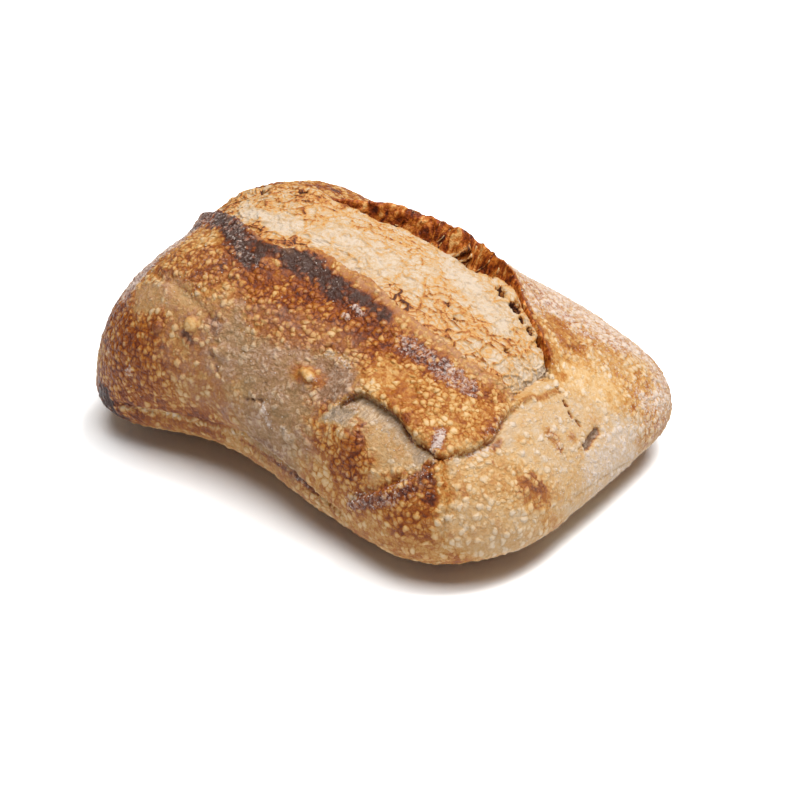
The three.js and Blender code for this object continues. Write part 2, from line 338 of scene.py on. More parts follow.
RIGHT, UP, BACK = view_axes()
EYE = VIEW_TARGET + BACK * VIEW_DISTANCE


def new_object(name, data):
    thing = bpy.data.objects.new(name, data)
    bpy.context.scene.collection.objects.link(thing)
    return thing


def make_camera():
    camera = new_object("camera", bpy.data.cameras.new("camera"))
    camera.data.sensor_width = SENSOR
    camera.data.lens = FOCAL / IMAGE * SENSOR
    camera.data.clip_start = 0.01
    camera.matrix_world = Matrix.Translation(EYE * MM) @ Matrix((RIGHT, UP, BACK)).transposed().to_4x4()
    bpy.context.scene.camera = camera


def roll_tree():
    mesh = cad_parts["roll"].data
    return BVHTree.FromPolygons([v.co for v in mesh.vertices], [tuple(f.vertices) for f in mesh.polygons])


TREE = roll_tree()
MIDDLE_PIXEL = Vector((380, 370))


def on_roll(pixel):
    """The point of the roll, in mm, that shows at a pixel. A pixel beside the roll is moved onto its edge."""
    place = Vector(pixel)
    for _ in range(60):
        x, y = place - Vector((IMAGE / 2, IMAGE / 2))
        ray = RIGHT * (x / FOCAL) - UP * (y / FOCAL) - BACK
        hit = TREE.ray_cast(EYE * MM, ray)[0]
        if hit:
            return np.array(hit) / MM
        place += (MIDDLE_PIXEL - place).normalized()
    raise ValueError(f"pixel {tuple(pixel)} is far from the roll")


def in_view(points):
    """The pixel at which each point, in mm, shows."""
    away = points - np.array(EYE)
    depth = -away @ np.array(BACK)
    sideways = np.stack([away @ np.array(RIGHT), -away @ np.array(UP)], axis=1)
    return IMAGE / 2 + FOCAL / depth[:, None] * sideways


# Places on the crust, painted in turn: a line of pixels, or of places in mm on the hidden sides, its reach in
# mm, how the crust is there, and sometimes the one side of the line that it covers, -1 for the right of
# someone walking along it. A few strokes paint shade into creases and highlights onto ridges and blister
# tops.
CRUST_PAINT = [
    ([(-45, 28, 42), (-20, 33, 42), (5, 32, 39), (25, 32, 34)], 7, dict(bake=0.66, blistered=0.9)),
    ([(-34, 20, 49), (-18, 25, 47), (-2, 28, 44)], 4, dict(bake=0.84, flour=0.2, blistered=0.6)),
    ([(-42, 42, 20), (-15, 44, 17), (20, 45, 14)], 9, dict(bake=0.5, dull=0.85, blistered=0.2, flour=0.14)),
    ([(-30, 44, 8), (10, 46, 7)], 4, dict(bake=0.62, dull=0.2, blistered=0.3)),
    ([(-6, 42, 29), (8, 43, 26), (16, 44, 20)], 4.5, dict(bake=0.74, blistered=1.0)),
    ([(35, 44, 10), (55, 36, 10)], 6, dict(bake=0.42, dull=0.4, flour=0.3, blistered=0.4)),
    ([(-55, 26, 26), (-57, 4, 28), (-55, -18, 28)], 10, dict(bake=0.66, blistered=0.9, dull=0.0)),
    ([(-60, 20, 12), (-60, -8, 12)], 8, dict(bake=0.52, dull=0.7, flour=0.16, blistered=0.3)),
    ([(-50, 20, 40), (-53, 10, 38)], 3.5, dict(bake=0.84, flour=0.35, blistered=0.6)),
    ([(105, 310), (140, 350), (120, 390)], 13, dict(bake=0.68, blistered=1.0, dull=0.0)),
    ([(175, 285), (205, 262), (238, 262)], 7, dict(bake=0.66, blistered=0.85, flour=0.18)),
    ([(130, 287), (165, 252), (215, 212)], 4.5, dict(bake=0.66, flour=0.66, blistered=0.7)),
    ([(196, 228), (210, 214), (220, 222)], 3, dict(bake=0.86, flour=0.4, blistered=0.6)),
    ([(145, 297), (172, 293), (198, 322)], 4.5, dict(bake=0.44, dull=0.55, blistered=0.15)),
    ([(190, 345), (215, 405)], 8, dict(bake=0.54, dull=0.4, blistered=0.35)),
    ([(160, 410), (215, 420)], 5, dict(bake=0.65, dull=0.05, blistered=0.4)),
    ([(222, 340), (223, 362)], 1.4, dict(bake=0.3, dull=0.1, blistered=0.0)),
    ([(250, 340), (300, 400), (270, 425)], 12, dict(bake=0.5, dull=0.95, blistered=0.2, flour=0.12)),
    ([(290, 350), (330, 368), (335, 400)], 7, dict(bake=0.55, dull=0.9, blistered=0.1, flour=0.12)),
    ([(262, 290), (330, 318), (380, 350), (420, 385)], 6, dict(bake=0.68, blistered=0.8, dull=0.0)),
    ([(262, 320), (300, 330), (345, 345)], 4.5, dict(bake=0.64, blistered=0.7, dull=0.25)),
    ([(345, 312), (385, 345)], 4, dict(bake=0.72, blistered=0.8)),
    ([(400, 385), (440, 410), (480, 415)], 9, dict(bake=0.53, blistered=1.0, dull=0.0)),
    ([(455, 395), (500, 405)], 5, dict(bake=0.53, blistered=1.0)),
    ([(390, 375), (405, 395)], 4, dict(bake=0.56, blistered=0.2)),
    ([(335, 425), (350, 455)], 8, dict(bake=0.66, blistered=1.0, dull=0.0)),
    ([(350, 400), (358, 425), (362, 440)], 2.6, dict(bake=0.76, blistered=0.9)),
    ([(346, 402), (362, 393), (378, 402), (395, 413), (408, 430), (422, 446), (438, 457)], 7,
     dict(bake=0.22, dull=0.9, blistered=0.0, flour=0.3, pulled=1.0), -1),
    ([(380, 440), (400, 465), (380, 480)], 3.5, dict(bake=0.42, dull=0.45, blistered=0.15)),
    ([(341, 404), (350, 403), (357, 410)], 1.3, dict(bake=0.5, flour=0.5, blistered=0.0)),
    ([(396, 502), (420, 512)], 6.5, dict(bake=0.63, blistered=1.0, dull=0.0)),
    ([(355, 500), (385, 489), (415, 478), (440, 463)], 3.5, dict(bake=0.8, flour=0.3, blistered=0.8), -1),
    ([(348, 500), (376, 499), (392, 500)], 1.8, dict(flour=0.42)),
    ([(447, 478), (449, 530)], 3.6, dict(bake=0.52, dull=0.0, blistered=0.6)),
    ([(445, 459), (468, 453), (492, 440), (500, 424), (521, 403)], 6,
     dict(bake=0.2, dull=0.5, blistered=0.1, flour=0.2, pulled=0.8), -1),
    ([(470, 452), (492, 444)], 1.6, dict(flour=0.55, bake=0.15), -1),
    ([(429, 468), (430, 483), (431, 498)], 1.7, dict(bake=0.8, flour=0.2, dull=0.0, blistered=0.7)),
    ([(441, 468), (445, 500), (448, 528)], 1.7, dict(bake=0.5, flour=0.0, dull=0.0, blistered=0.5)),
    ([(436, 463), (424, 472), (408, 480), (388, 490)], 0.8, dict(bake=0.66, flour=0.35)),
    ([(480, 475), (530, 480)], 7, dict(bake=0.38, dull=0.2, blistered=0.6)),
    ([(488, 436), (496, 424)], 1.8, dict(bake=0.6, flour=0.3)),
    ([(525, 487), (540, 498)], 3, dict(bake=0.58, blistered=0.5)),
    ([(470, 525), (520, 540)], 7, dict(bake=0.3, dull=0.35, flour=0.14, blistered=0.45)),
    ([(560, 430), (640, 420), (590, 490)], 14, dict(bake=0.29, dull=0.3, flour=0.33, blistered=0.2)),
    ([(600, 470), (650, 430)], 7, dict(bake=0.18, dull=0.3, flour=0.6, blistered=0.2)),
    ([(565, 368), (600, 382), (650, 398)], 6, dict(bake=0.31, dull=0.0, flour=0.17, blistered=0.3)),
    ([(500, 268), (560, 305), (640, 355)], 9, dict(bake=0.5, flour=0.75, blistered=0.5)),
    ([(510, 265), (560, 295), (630, 342), (655, 372)], 4, dict(flour=0.95, bake=0.4)),
    ([(494, 262), (520, 284), (542, 312)], 3, dict(flour=0.6, bake=0.45)),
    ([(5, 33, 37), (35, 34, 30), (57, 30, 18)], 15, dict(bake=0.5, flour=0.3, blistered=0.6)),
    ([(12, 30, 37), (35, 31, 31), (55, 28, 20)], 9, dict(flour=0.65, bake=0.46)),
    ([(560, 342), (600, 360), (640, 373)], 5, dict(bake=0.44, flour=0.3, blistered=0.5)),
    ([(556, 325), (572, 345)], 3.5, dict(bake=0.58, flour=0.2, blistered=0.2)),
    ([(552, 350), (560, 375)], 2.0, dict(bake=0.5, flour=0.1, blistered=0.2)),
    ([(228, 262), (255, 272), (290, 280), (322, 296), (345, 315), (380, 330)], 3.4, dict(bake=0.72)),
    ([(222, 218), (236, 232), (246, 246), (250, 256)], 3.0, dict(bake=1.0, flour=0.32, blistered=0.7)),
    ([(252, 246), (275, 253), (292, 258)], 1.8, dict(bake=0.9, flour=0.08, blistered=0.4)),
    ([(290, 258), (305, 263), (322, 274), (338, 291)], 3.0, dict(bake=1.0, flour=0.17, blistered=0.7)),
    ([(345, 296), (366, 300), (385, 316)], 2.0, dict(bake=0.9, flour=0.04, blistered=0.5)),
    ([(355, 308), (360, 314)], 0.9, dict(flour=0.6)),
    ([(344, 316), (347, 319)], 0.8, dict(flour=0.5)),
    ([(408, 345), (426, 357)], 2.8, dict(bake=0.76, flour=0.42, blistered=1.0)),
    ([(444, 370), (468, 386)], 3.2, dict(bake=0.74, flour=0.45, blistered=1.0)),
    # A glossy highlight painted on the tongue's tip, as white flour over browned crust
    ([(436, 448), (440, 432)], 1.6, dict(bake=0.7, flour=0.5, blistered=0.3)),
    ([(438, 447), (442, 434)], 0.8, dict(flour=1.0)),
    ([(262, 239), (290, 252), (315, 250), (332, 260)], 1.0, dict(rim=0.35)),
    ([(230, 218), (250, 231), (262, 239)], 0.9, dict(rim=0.7)),
    ([(344, 270), (370, 287), (395, 307), (420, 327), (450, 350), (480, 375), (512, 395)], 1.5,
     dict(rim=1.0, bake=0.5, flour=0.1)),
    ([(310, 372), (316, 360), (330, 355), (345, 362), (347, 380), (334, 394)], 1.3,
     dict(flour=0.5, bake=0.4)),
    ([(320, 374), (336, 388)], 4.5, dict(bake=0.68, dull=1.0, flour=0.04)),
    ([(300, 372), (316, 380)], 2.4, dict(bake=0.62, dull=0.1, flour=0.05)),
    # A painted highlight on the nub's top, and a flour dot that is partly a painted highlight
    ([(306, 373), (311, 377)], 1.0, dict(bake=0.36, dull=0.0)),
    ([(313, 378), (316, 381)], 0.7, dict(flour=0.6)),
    ([(263, 405), (269, 425)], 0.8, dict(flour=0.7)),
    ([(284, 432), (291, 438)], 1.4, dict(flour=0.4, bake=0.25)),
    ([(104, 398), (112, 412)], 4.5, dict(bake=1.0, flour=0.05)),
    # Painted shade in the old fold's crease, and a painted highlight on the ridge beside it
    ([(180, 284), (189, 292), (199, 300)], 0.6, dict(bake=0.85, dull=0.5)),
    ([(181, 280), (191, 288), (201, 296)], 0.6, dict(bake=0.36, dull=0.2)),
    ([(586, 447), (591, 439), (597, 431)], 0.9, dict(bake=0.66, dull=0.9, blistered=0.0)),
    ([(524, 401), (532, 397), (541, 398), (556, 391)], 0.9, dict(bake=0.6, flour=0.0)),
    ([(495, 449), (499, 442)], 0.9, dict(bake=0.66, flour=0.0)),
    ([(549, 434), (556, 441), (560, 447)], 1.5, dict(bake=0.56, blistered=0.5)),
    ([(572, 437), (578, 444)], 1.3, dict(bake=0.48, blistered=0.3)),
    ([(530, 478), (541, 490)], 1.6, dict(bake=0.66, blistered=0.7)),
    ([(441, 464), (445, 480), (448, 500)], 1.0, dict(bake=0.54, flour=0.0, dull=0.0, blistered=0.3)),
    # Two small flour spots on blister tops, partly painted highlights
    ([(109, 349), (110, 351)], 0.9, dict(flour=0.5)),
    ([(130, 368), (131, 374)], 1.0, dict(flour=0.5)),
    ([(185, 334), (189, 342)], 1.1, dict(bake=0.88, flour=0.05)),
    ([(192, 325), (193, 326)], 1.9, dict(bake=0.34, dull=0.0, blistered=0.0)),
    ([(213, 318), (217, 330)], 1.6, dict(bake=0.72, blistered=0.6)),
    # The foot rim: a light line of flour with a painted highlight on its ridge, and painted shade in the
    # crease above it
    ([(117, 407), (137, 407), (162, 412), (202, 424), (243, 436), (264, 448), (284, 464), (304, 481),
      (321, 499)], 0.8, dict(bake=0.42, flour=0.35)),
    ([(125, 403), (162, 407), (204, 419), (246, 431), (268, 443), (290, 461)], 0.8, dict(bake=0.78)),
    ([(244, 440), (270, 457), (296, 475), (318, 493)], 0.6, dict(bake=0.84, dull=0.2)),
]
# Cracks and pits in the crust: a line of pixels, its reach and its depth in mm. The crust is painted darker
# in them the deeper they are, as painted shade
CRUST_PITS = [
    ([(180, 284), (189, 292), (199, 300)], 0.5, 0.7),
    ([(246, 400), (248, 400)], 0.45, 0.5), ([(252, 399), (254, 400)], 0.45, 0.5),
    ([(259, 400), (261, 401)], 0.5, 0.6), ([(558, 388), (560, 392)], 0.5, 1.4),
    ([(564, 402), (567, 406)], 0.5, 1.4), ([(569, 412), (572, 417)], 0.5, 1.4),
    ([(577, 421), (581, 426)], 0.5, 1.2), ([(586, 447), (591, 439), (597, 431)], 1.3, 0.8),
    ([(575, 498), (600, 479), (622, 466), (640, 455)], 0.35, 0.22), ([(516, 468), (518, 476)], 0.45, 0.3),
    ([(438, 459), (447, 461)], 0.6, 0.5), ([(488, 262), (503, 280), (520, 300)], 0.5, 0.8),
    ([(211, 352), (213, 358)], 0.4, 0.4), ([(216, 366), (217, 372)], 0.4, 0.4),
    ([(330, 346), (322, 352)], 0.5, 0.4),
]
# Where a flap of crust stands over the crust below and to the right of a line: its pixels, the step and reach
# in mm, and how dark the painted shade at the foot of the step is, which also sets how light the painted
# highlight on its edge is
LEDGES = [
    ([(346, 402), (354, 395), (362, 393), (370, 396), (378, 402), (386, 406), (395, 413), (403, 421),
      (408, 430), (413, 440), (422, 446), (430, 450), (438, 457)], 0.9, 3.0, 0.8),
    ([(445, 459), (456, 455), (468, 453), (480, 447), (492, 440), (497, 430), (500, 424), (510, 412),
      (521, 403)], 0.5, 3.0, 0.45),
    ([(443, 530), (446, 500), (441, 463)], 0.6, 3.0, 0.0),
    ([(441, 463), (415, 478), (385, 489), (355, 500)], 0.9, 2.5, 0.3),
]
# Single large blisters: the pixel of their middle, their radius and height in mm
BLISTERS = [
    ((192, 325), 1.9, 1.2), ((222, 352), 1.7, 1.0), ((158, 327), 1.4, 0.9), ((235, 275), 1.2, 0.8),
    ((213, 350), 1.0, 0.6), ((356, 313), 0.9, 0.7), ((346, 318), 0.8, 0.6), ((350, 408), 1.6, 0.8),
    ((309, 376), 1.5, 0.9), ((303, 371), 1.1, 0.6), ((316, 381), 0.9, 0.5), ((288, 436), 1.5, 0.7),
    ((130, 371), 1.1, 0.7), ((566, 338), 3.2, 1.0), ((420, 388), 1.1, 0.6), ((437, 390), 1.0, 0.6),
    ((398, 472), 1.2, 0.6), ((505, 462), 1.3, 0.6),
]


def wobble(points, size):
    """An uneven value from -1 to 1 that changes over distances of about size mm."""
    x, y, z = points.T / size
    slow = np.sin(2.1 * x + 1.3 * z + 1.9 * np.sin(1.7 * y))
    broad = slow * np.sin(1.9 * y - 1.1 * z + 1.6 * np.sin(1.5 * x))
    return broad * 0.6 + 0.4 * np.sin(4.3 * x - 3.1 * y + 2.2 * np.sin(3.7 * z + 2.6 * x))


def away_from(points, a, b):
    """How far points are from the line from a to b, and the way to them from it."""
    run = b - a
    t = np.clip((points - a) @ run / max(run @ run, 1e-9), 0, 1)
    away = points - a - t[:, None] * run
    return np.linalg.norm(away, axis=1), away


def beside(points, pixels, flat=False):
    """The distance in mm from each point to a line of pixels or of places in mm, below zero to the right of
    someone walking along it. A flat distance is the one that shows in the view."""
    if flat:
        points = in_view(points) * VIEW_DISTANCE / FOCAL
        path = [np.array(p) * VIEW_DISTANCE / FOCAL for p in pixels]
        return np.min([away_from(points, a, b)[0] for a, b in zip(path[:-1], path[1:])], axis=0)
    path = [on_roll(p) if len(p) == 2 else np.array(p, float) for p in pixels]
    signed = np.full(len(points), np.inf)
    for a, b in zip(path[:-1], path[1:]):
        far, away = away_from(points, a, b)
        hand = np.cross(b - a, away) @ np.array(BACK)
        signed = np.where(far < abs(signed), np.where(hand < 0, -far, far), signed)
    return signed


def toward(looks, name, value, share):
    """Takes a channel a share of the way to a value."""
    looks[name] += (value - looks[name]) * share


def paint(points, start, strokes, flat=False):
    """The channels of start, with each stroke's values brushed over them in turn."""
    looks = {name: np.array(np.broadcast_to(value, len(points)), float) for name, value in start.items()}
    for pixels, reach, values, *side in strokes:
        away = beside(points, pixels, flat)
        uneven = reach * (0.3 * wobble(points, max(0.8, reach * 0.5)) + 0.2 * wobble(points + 40, 1.1))
        cover = 1 - ramp((abs(away) + uneven * (1 if reach > 1.6 else 0.5)) / reach / 0.75 - 0.7)
        if side:
            cover = cover * ramp(side[0] * away / 0.6 + 0.5)
        for name, value in values.items():
            toward(looks, name, value, cover)
    return looks


def ledge_relief(points):
    """How far the ledges lift the crust, and how strong the painted shade at the foot and the painted
    highlight on the edge of their steps are.
    """
    lift, foot, edge = np.zeros(len(points)), np.zeros(len(points)), np.zeros(len(points))
    for pixels, step, reach, foot_shade in LEDGES:
        away = beside(points, pixels) + 0.5 * wobble(points, 0.7)
        above = 0.5 + 0.5 * np.tanh(away / 0.2)
        lift += step * above * hump(np.maximum(away, 0) / reach) * hump(abs(away) / 9)
        lift -= 0.4 * step * hump((away + 0.5) / 0.6)
        foot = np.maximum(foot, foot_shade * hump((away + 0.3) / 0.5))
        edge = np.maximum(edge, min(1, 2 * foot_shade) * hump((away - 0.6) / 0.4))
    return lift, foot, edge


def blister_relief(points):
    lift = np.zeros(len(points))
    for pixel, radius, height in BLISTERS:
        far = np.linalg.norm(points - on_roll(pixel), axis=1) / radius
        lift += height * np.sqrt(np.maximum(0, 1 - far * far))
    return lift


def pit_relief(points):
    depth = np.zeros(len(points))
    for pixels, reach, deep in CRUST_PITS:
        far = abs(beside(points, pixels)) + 0.3 * reach * wobble(points, 0.8)
        depth = np.maximum(depth, deep * (1 - ramp((far / reach - 0.4) / 0.7)))
    return depth


def new_mesh(name, points, faces, looks=None):
    mesh = bpy.data.meshes.new(name)
    mesh.from_pydata(points * MM, [], [tuple(face) for face in faces])
    mesh.attributes.new("rest", "FLOAT_VECTOR", "POINT").data.foreach_set("vector", (points * MM).ravel())
    for channel, values in (looks or {}).items():
        mesh.attributes.new(channel, "FLOAT", "POINT").data.foreach_set("value", values.astype(np.float32))
    mesh.shade_smooth()
    return new_object(name, mesh)


# Node trees
class Nodes:
    """Adds nodes to a tree. An input is a value or another node's output."""

    def __init__(self, tree):
        self.tree = tree

    def add(self, kind, inputs=None, **settings):
        node = self.tree.nodes.new(kind)
        for name, value in settings.items():
            setattr(node, name, value)
        for name, value in (inputs or {}).items():
            self.feed(node.inputs[name], value)
        return node

    def feed(self, socket, value):
        if isinstance(value, bpy.types.NodeSocket):
            self.tree.links.new(value, socket)
        else:
            socket.default_value = value

    def math(self, operation, *values):
        node = self.add("ShaderNodeMath", operation=operation)
        for socket, value in zip(node.inputs, values):
            self.feed(socket, value)
        return node.outputs[0]

    def times(self, *values):
        result = values[0]
        for value in values[1:]:
            result = self.math("MULTIPLY", result, value)
        return result

    def plus(self, *values):
        result = values[0]
        for value in values[1:]:
            result = self.math("ADD", result, value)
        return result

    def less(self, a, b):
        return self.math("SUBTRACT", a, b)

    def between(self, value, low, high, to_low=0.0, to_high=1.0):
        """A smooth rise from to_low to to_high as value goes from low to high."""
        node = self.add("ShaderNodeMapRange", {0: value, 1: low, 2: high, 3: to_low, 4: to_high},
                        interpolation_type="SMOOTHSTEP")
        return node.outputs[0]

    def mix(self, share, a, b):
        node = self.add("ShaderNodeMix", data_type="FLOAT")
        self.feed(node.inputs[0], share)
        self.feed(node.inputs[2], a)
        self.feed(node.inputs[3], b)
        return node.outputs[0]

    def mix_colour(self, share, a, b):
        node = self.add("ShaderNodeMix", data_type="RGBA")
        self.feed(node.inputs[0], share)
        self.feed(node.inputs[6], a)
        self.feed(node.inputs[7], b)
        return node.outputs[2]

    def noise(self, where, size_mm, detail=2.0, roughness=0.5):
        scale = 1 / (size_mm * MM)
        return self.add("ShaderNodeTexNoise", {"Vector": where, "Scale": scale, "Detail": detail,
                                               "Roughness": roughness}).outputs[0]

    def uneven(self, where, size_mm, detail, roughness):
        """Noise about zero instead of one half."""
        return self.less(self.noise(where, size_mm, detail, roughness), 0.5)

    def bent(self, where, size_mm, reach_mm):
        """Places shifted unevenly by about reach, so that a pattern on them isn't regular."""
        scale = 1 / (size_mm * MM)
        way = self.add("ShaderNodeTexNoise", {"Vector": where, "Scale": scale, "Detail": 1.0}).outputs[1]
        return self.vectors("ADD", where, self.scaled(way, reach_mm * MM))

    def vectors(self, operation, a, b):
        return self.add("ShaderNodeVectorMath", {0: a, 1: b}, operation=operation).outputs[0]

    def scaled(self, vector, scale):
        return self.add("ShaderNodeVectorMath", {0: vector, "Scale": scale}, operation="SCALE").outputs[0]

    def height_of(self, where):
        return self.add("ShaderNodeSeparateXYZ", {0: where}).outputs[2]

    def cells(self, where, size):
        """Cells about size metres across: how far a place is from the nearest wall, how far from its cell's
        middle, and a chance for each cell."""
        scale = self.math("DIVIDE", 1.0, size)
        wall = self.add("ShaderNodeTexVoronoi", {"Vector": where, "Scale": scale}, feature="DISTANCE_TO_EDGE")
        cell = self.add("ShaderNodeTexVoronoi", {"Vector": where, "Scale": scale})
        chance = self.add("ShaderNodeSeparateXYZ", {0: cell.outputs["Color"]}).outputs[0]
        return wall.outputs["Distance"], cell.outputs["Distance"], chance

    def blisters(self, where, size, share):
        """Domes about size metres across on a share of the surface: height, 0 to 1, and chance of each."""
        wall, middle, chance = self.cells(where, size)
        bare = self.less(1.0, self.times(share, 0.85))
        present = self.between(chance, self.less(bare, 0.15), self.plus(bare, 0.1))
        fall = self.times(middle, middle, 2.6)
        round_top = self.math("SQRT", self.math("MAXIMUM", self.less(1.0, fall), 0.0))
        return self.times(round_top, self.between(wall, 0.0, 0.16, 0.4, 1.0), present), chance

    def stretched(self, where, degrees, scale):
        """Turns places about Z, then scales them, so that a pattern on them runs along a slant."""
        turned = self.add("ShaderNodeVectorRotate", {"Vector": where, "Angle": radians(degrees)},
                          rotation_type="Z_AXIS").outputs[0]
        return self.vectors("MULTIPLY", turned, scale)

    def place(self):
        """Where a point of the roll is, in metres, before its shape tree moves it."""
        if self.tree.type == "GEOMETRY":
            return self.add("GeometryNodeInputPosition").outputs[0]
        return self.add("ShaderNodeAttribute", attribute_name="rest").outputs["Vector"]

    def attribute(self, name):
        if self.tree.type == "GEOMETRY":
            return self.add("GeometryNodeInputNamedAttribute", {"Name": name}, data_type="FLOAT").outputs[0]
        return self.add("ShaderNodeAttribute", attribute_name=name).outputs["Fac"]

    def lift(self, geometry, height):
        """Moves each point out along its normal by height, in metres."""
        away = self.scaled(self.add("GeometryNodeInputNormal").outputs[0], height)
        return self.add("GeometryNodeSetPosition", {"Geometry": geometry, "Offset": away}).outputs[0]

    def bump(self, skin, height, strength, distance_mm):
        bump = self.add("ShaderNodeBump", {"Height": height, "Strength": strength,
                                           "Distance": distance_mm * MM})
        self.feed(skin.inputs["Normal"], bump.outputs[0])

    def finish(self, geometry, material):
        real = self.add("GeometryNodeRealizeInstances", {"Geometry": geometry}).outputs[0]
        return self.add("GeometryNodeSetMaterial", {"Geometry": real, "Material": material}).outputs[0]


def shape_tree(name, inputs, build):
    """A Geometry Nodes tree with the named inputs, whose build turns the geometry into the finished one."""
    tree = bpy.data.node_groups.new(name, "GeometryNodeTree")
    tree.interface.new_socket("Geometry", in_out="INPUT", socket_type="NodeSocketGeometry")
    for label, value in inputs.items():
        kind = "NodeSocketMaterial" if isinstance(value, bpy.types.Material) else "NodeSocketFloat"
        tree.interface.new_socket(label, in_out="INPUT", socket_type=kind)
    tree.interface.new_socket("Geometry", in_out="OUTPUT", socket_type="NodeSocketGeometry")
    nodes = Nodes(tree)
    given = nodes.add("NodeGroupInput").outputs
    nodes.add("NodeGroupOutput", {0: build(nodes, given)})
    return tree


def made_real(piece, tree, inputs, triangles=None):
    """Runs a tree on a piece, thins the result to a number of triangles, and keeps it as a plain mesh."""
    modifier = piece.modifiers.new("shape", "NODES")
    modifier.node_group = tree
    for socket in tree.interface.items_tree:
        if socket.in_out == "INPUT" and socket.name in inputs:
            modifier[socket.identifier] = inputs[socket.name]
    if triangles:
        thin = piece.modifiers.new("thin", "DECIMATE")
        thin.ratio = min(1.0, triangles / (2 * len(piece.data.polygons)))
    shaped = bpy.data.meshes.new_from_object(piece.evaluated_get(bpy.context.evaluated_depsgraph_get()))
    piece.modifiers.clear()
    was = piece.data
    piece.data = shaped
    shaped.name = piece.name
    bpy.data.meshes.remove(was)
    shaped.shade_smooth()
    return piece


def crust_build(nodes, given):
    where = nodes.place()
    torn = nodes.attribute("torn")
    bent = nodes.bent(where, 3, 1.2)
    share = nodes.attribute("blistered")
    big = nodes.blisters(bent, given["Blister Size"], share)[0]
    small = nodes.blisters(bent, nodes.times(given["Blister Size"], 0.6), share)[0]
    domed = nodes.math("MAXIMUM", big, nodes.times(small, 0.6))
    lumps = nodes.times(nodes.uneven(where, 14, 2.0, 0.5), given["Lump Height"])
    creases = nodes.times(nodes.uneven(where, 3.5, 4.0, 0.6), given["Crease Height"])
    rough = nodes.times(nodes.uneven(where, 2.2, 4.0, 0.7), given["Torn Height"], torn)
    height = nodes.plus(nodes.times(domed, given["Blister Height"]), lumps, creases, rough)
    base = nodes.between(nodes.height_of(where), 0.3 * MM, 3 * MM)
    return nodes.finish(nodes.lift(given["Geometry"], nodes.times(height, base)), given["Material"])


# How baked the crust is on the cut's back rim and near the table, how light the painted highlight on a
# ledge's edge is, and how dark the painted shade at a ledge's foot and in pits is
LEDGE_EDGE_HIGHLIGHT_BAKE, LEDGE_FOOT_SHADE_BAKE, BACK_RIM_BAKE, PIT_SHADE_BAKE, FOOT_BAKE = 0.36, 0.84, 0.95, 0.92, 0.56
BLISTER_SIZE = 1.5 * MM
CRUST_SHAPE = {"Blister Size": BLISTER_SIZE, "Blister Height": 0.3 * MM, "Lump Height": 1.0 * MM,
               "Crease Height": 0.6 * MM, "Torn Height": 2.2 * MM}


def raise_levels(cube):
    """Most of the skin's level grid lines lie above the belly."""
    cells = SKIN_CELLS[2]
    line = (cube[:, 2] + 1) / 2 * cells
    below = line / CELLS_BELOW_BELLY - 1
    above = (line - CELLS_BELOW_BELLY) / (cells - CELLS_BELOW_BELLY)
    return np.stack([cube[:, 0], cube[:, 1], np.where(line < CELLS_BELOW_BELLY, below, above)], axis=1)


def make_crust(material):
    cube, faces = cube_skin(SKIN_CELLS)
    cube = follow_cut(raise_levels(cube))
    plain = loaf_point(cube)
    normals = normals_of(plain, faces)
    lift, lean, torn, back_rim = skin_relief(cube)
    lift = lift + sum(fold_relief(fold, plain, normals) for fold in FOLDS) + bulge_relief(plain)
    lift[plain[:, 2] < 0.01] = 0
    points = plain + normals * lift[:, None]
    points[:, 1] += lean
    points[:, 2] = np.maximum(points[:, 2], 0)
    seen = points
    ledges, ledge_foot_shade, ledge_edge_highlight = ledge_relief(seen)
    pits = pit_relief(seen)
    points = seen + normals * (ledges + blister_relief(seen))[:, None]
    points = points - normals * pits[:, None]
    points[:, 2] = np.maximum(points[:, 2], 0)
    start = dict(bake=0.5, dull=0.1, flour=0.02, blistered=0.5, rim=0.0, pulled=0.0, torn=torn)
    looks = paint(seen, start, CRUST_PAINT)
    # Painted highlight on each ledge's edge, and painted shade at the foot of its step
    toward(looks, "bake", LEDGE_EDGE_HIGHLIGHT_BAKE, 0.6 * ledge_edge_highlight)
    toward(looks, "bake", LEDGE_FOOT_SHADE_BAKE, ledge_foot_shade)
    looks["dull"] *= 1 - np.maximum(ledge_foot_shade, ledge_edge_highlight)
    gaping = how_gaping(station(cube))
    back_rim = back_rim * (0.75 + 0.25 * wobble(seen, 2.0))
    toward(looks, "bake", BACK_RIM_BAKE - 0.15 * gaping, back_rim)
    toward(looks, "flour", 0.02 + 0.16 * gaping, back_rim)
    toward(looks, "blistered", 0.3, back_rim)
    # Painted shade in the pits and cracks, darker the deeper they are
    toward(looks, "bake", PIT_SHADE_BAKE, np.minimum(1, pits / 0.8) ** 2)
    looks["flour"] *= 1 - np.minimum(1, pits / 0.5)
    foot = 1 - ramp((plain[:, 2] - 2) / 5)
    toward(looks, "bake", FOOT_BAKE, 0.7 * foot)
    looks["flour"] *= 1 - torn
    looks["blistered"] *= (1 - foot) * (1 - torn)
    piece = new_mesh("crust", points, faces, looks)
    inputs = {**CRUST_SHAPE, "Material": material}
    return made_real(piece, shape_tree("blistered crust", inputs, crust_build), inputs, SKIN_TRIANGLES)


